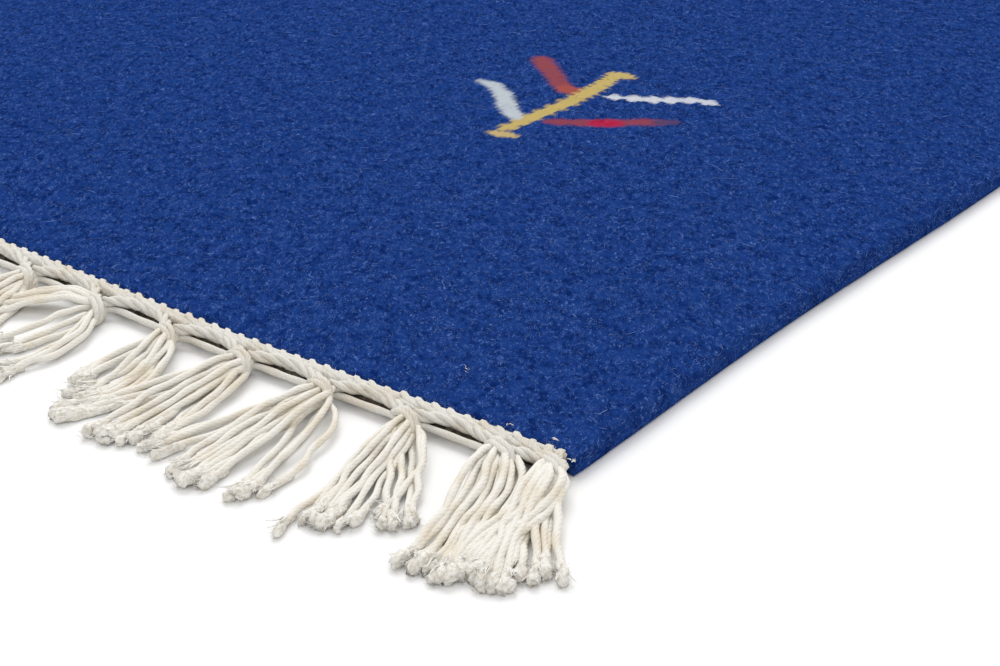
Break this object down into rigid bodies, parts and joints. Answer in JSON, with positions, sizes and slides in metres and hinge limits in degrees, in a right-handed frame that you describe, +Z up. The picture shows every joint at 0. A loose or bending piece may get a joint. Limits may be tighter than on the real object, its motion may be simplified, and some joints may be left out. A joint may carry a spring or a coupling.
{
  "type": "kilim rug",
  "caption": "Flatwoven woolen rug lying flat, with a row of half hitches, knots and cotton tassels along each end",
  "frame": {"origin": "the middle of the woven field's underside, on the floor", "axes": "+X is to the right across the rug, +Y is along its length away from the near fringe, +Z is up"},
  "size_m": [0.6462, 1.008, 0.0056],
  "materials": {
    "blue_wool": "royal blue felted wool weave with a fuzzy, matt surface and a small woven figure in yellow, white and red",
    "cream_cotton": "undyed plied cotton yarn, matt, with frayed tips"
  },
  "bodies": {
    "root": {"woven_field": "blue_wool", "fringe_near": "cream_cotton", "fringe_far": "cream_cotton"}
  },
  "joints": []
}
